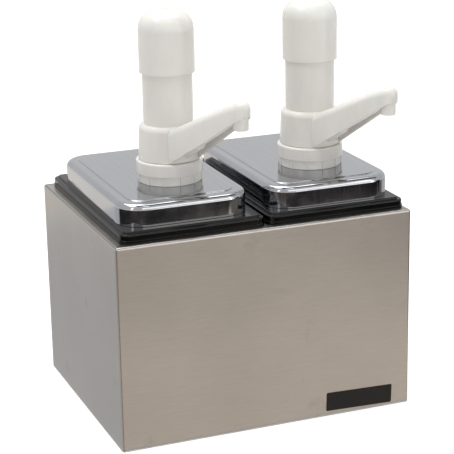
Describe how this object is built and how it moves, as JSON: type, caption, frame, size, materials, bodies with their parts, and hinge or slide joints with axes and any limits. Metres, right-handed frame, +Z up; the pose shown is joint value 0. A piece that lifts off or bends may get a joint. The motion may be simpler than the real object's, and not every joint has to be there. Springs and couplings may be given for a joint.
{
  "type": "condiment pump station",
  "caption": "Countertop condiment pump station: folded steel box with lift-out black food jars under drawn steel lids, each with a push-knob plunger pump and a rising side spout.",
  "frame": {"origin": "centre of the flat underside that the box rests on", "axes": "+Z up through the pumps, -Y towards the person served (the front that the spouts point over), +X to the right seen from the front"},
  "size_m": [0.235, 0.2078, 0.3119],
  "materials": {
    "brushed_steel": "brushed along the length",
    "polished_lid_steel": "polished satin",
    "black_jar": "gloss",
    "pump_plastic": "satin moulded",
    "seal_rubber": "matt",
    "steel_ball": "polished",
    "spring_steel": "drawn wire",
    "clear_tube": "smooth extruded"
  },
  "bodies": {
    "housing": {"housing_wrap": "brushed_steel", "housing_base": "brushed_steel"},
    "jar_1": {"jar_1": "black_jar"},
    "lid_1": {"lid_1": "polished_lid_steel", "lid_gasket_1": "seal_rubber", "lock_nut_1": "pump_plastic", "collar_1": "pump_plastic", "cylinder_1": "pump_plastic", "head_o_ring_1": "seal_rubber", "foot_valve_1": "pump_plastic", "ball_cage_1": "pump_plastic", "foot_o_ring_1": "seal_rubber", "dip_tube_1": "clear_tube"},
    "head_1": {"pump_head_1": "pump_plastic", "spout_duct_1": "pump_plastic", "nozzle_1": "pump_plastic", "tower_1": "pump_plastic", "gland_seal_1": "seal_rubber", "gland_washer_1": "pump_plastic", "outlet_seat_1": "pump_plastic", "return_spring_1": "spring_steel"},
    "plunger_1": {"knob_1": "pump_plastic", "plunger_rod_1": "pump_plastic", "plunger_1": "pump_plastic"},
    "inlet_ball_1": {"inlet_ball_1": "steel_ball"},
    "outlet_ball_1": {"outlet_ball_1": "steel_ball"},
    "jar_2": {"jar_2": "black_jar"},
    "lid_2": {"lid_2": "polished_lid_steel", "lid_gasket_2": "seal_rubber", "lock_nut_2": "pump_plastic", "collar_2": "pump_plastic", "cylinder_2": "pump_plastic", "head_o_ring_2": "seal_rubber", "foot_valve_2": "pump_plastic", "ball_cage_2": "pump_plastic", "foot_o_ring_2": "seal_rubber", "dip_tube_2": "clear_tube"},
    "head_2": {"pump_head_2": "pump_plastic", "spout_duct_2": "pump_plastic", "nozzle_2": "pump_plastic", "tower_2": "pump_plastic", "gland_seal_2": "seal_rubber", "gland_washer_2": "pump_plastic", "outlet_seat_2": "pump_plastic", "return_spring_2": "spring_steel"},
    "plunger_2": {"knob_2": "pump_plastic", "plunger_rod_2": "pump_plastic", "plunger_2": "pump_plastic"},
    "inlet_ball_2": {"inlet_ball_2": "steel_ball"},
    "outlet_ball_2": {"outlet_ball_2": "steel_ball"}
  },
  "joints": [
    {"name": "jar_lift_1", "type": "slide", "parent": "housing", "child": "jar_1", "axis": [0, 0, 1], "range_m": [0, 0.15]},
    {"name": "lid_lift_1", "type": "slide", "parent": "jar_1", "child": "lid_1", "axis": [0, 0, 1], "range_m": [0, 0.16]},
    {"name": "head_turn_1", "type": "hinge", "parent": "lid_1", "child": "head_1", "pos_m": [-0.05015, -0.023, 0.2], "axis": [0, 0, 1], "range_deg": [-52, 18]},
    {"name": "knob_press_1", "type": "slide", "parent": "head_1", "child": "plunger_1", "axis": [0, 0, 1], "range_m": [-0.035, 0], "stiffness_N_per_m": 300, "springref_m": 0.02, "deforming": ["return_spring_1"]},
    {"name": "inlet_ball_lift_1", "type": "slide", "parent": "lid_1", "child": "inlet_ball_1", "axis": [0, 0, 1], "range_m": [0, 0.004]},
    {"name": "outlet_ball_lift_1", "type": "slide", "parent": "head_1", "child": "outlet_ball_1", "axis": [0.2507, -0.82, 0.5145], "range_m": [0, 0.004]},
    {"name": "jar_lift_2", "type": "slide", "parent": "housing", "child": "jar_2", "axis": [0, 0, 1], "range_m": [0, 0.15]},
    {"name": "lid_lift_2", "type": "slide", "parent": "jar_2", "child": "lid_2", "axis": [0, 0, 1], "range_m": [0, 0.16]},
    {"name": "head_turn_2", "type": "hinge", "parent": "lid_2", "child": "head_2", "pos_m": [0.06505, -0.0245, 0.2], "axis": [0, 0, 1], "range_deg": [-52, 18]},
    {"name": "knob_press_2", "type": "slide", "parent": "head_2", "child": "plunger_2", "axis": [0, 0, 1], "range_m": [-0.035, 0], "stiffness_N_per_m": 300, "springref_m": 0.02, "deforming": ["return_spring_2"]},
    {"name": "inlet_ball_lift_2", "type": "slide", "parent": "lid_2", "child": "inlet_ball_2", "axis": [0, 0, 1], "range_m": [0, 0.004]},
    {"name": "outlet_ball_lift_2", "type": "slide", "parent": "head_2", "child": "outlet_ball_2", "axis": [0.2507, -0.82, 0.5145], "range_m": [0, 0.004]}
  ]
}
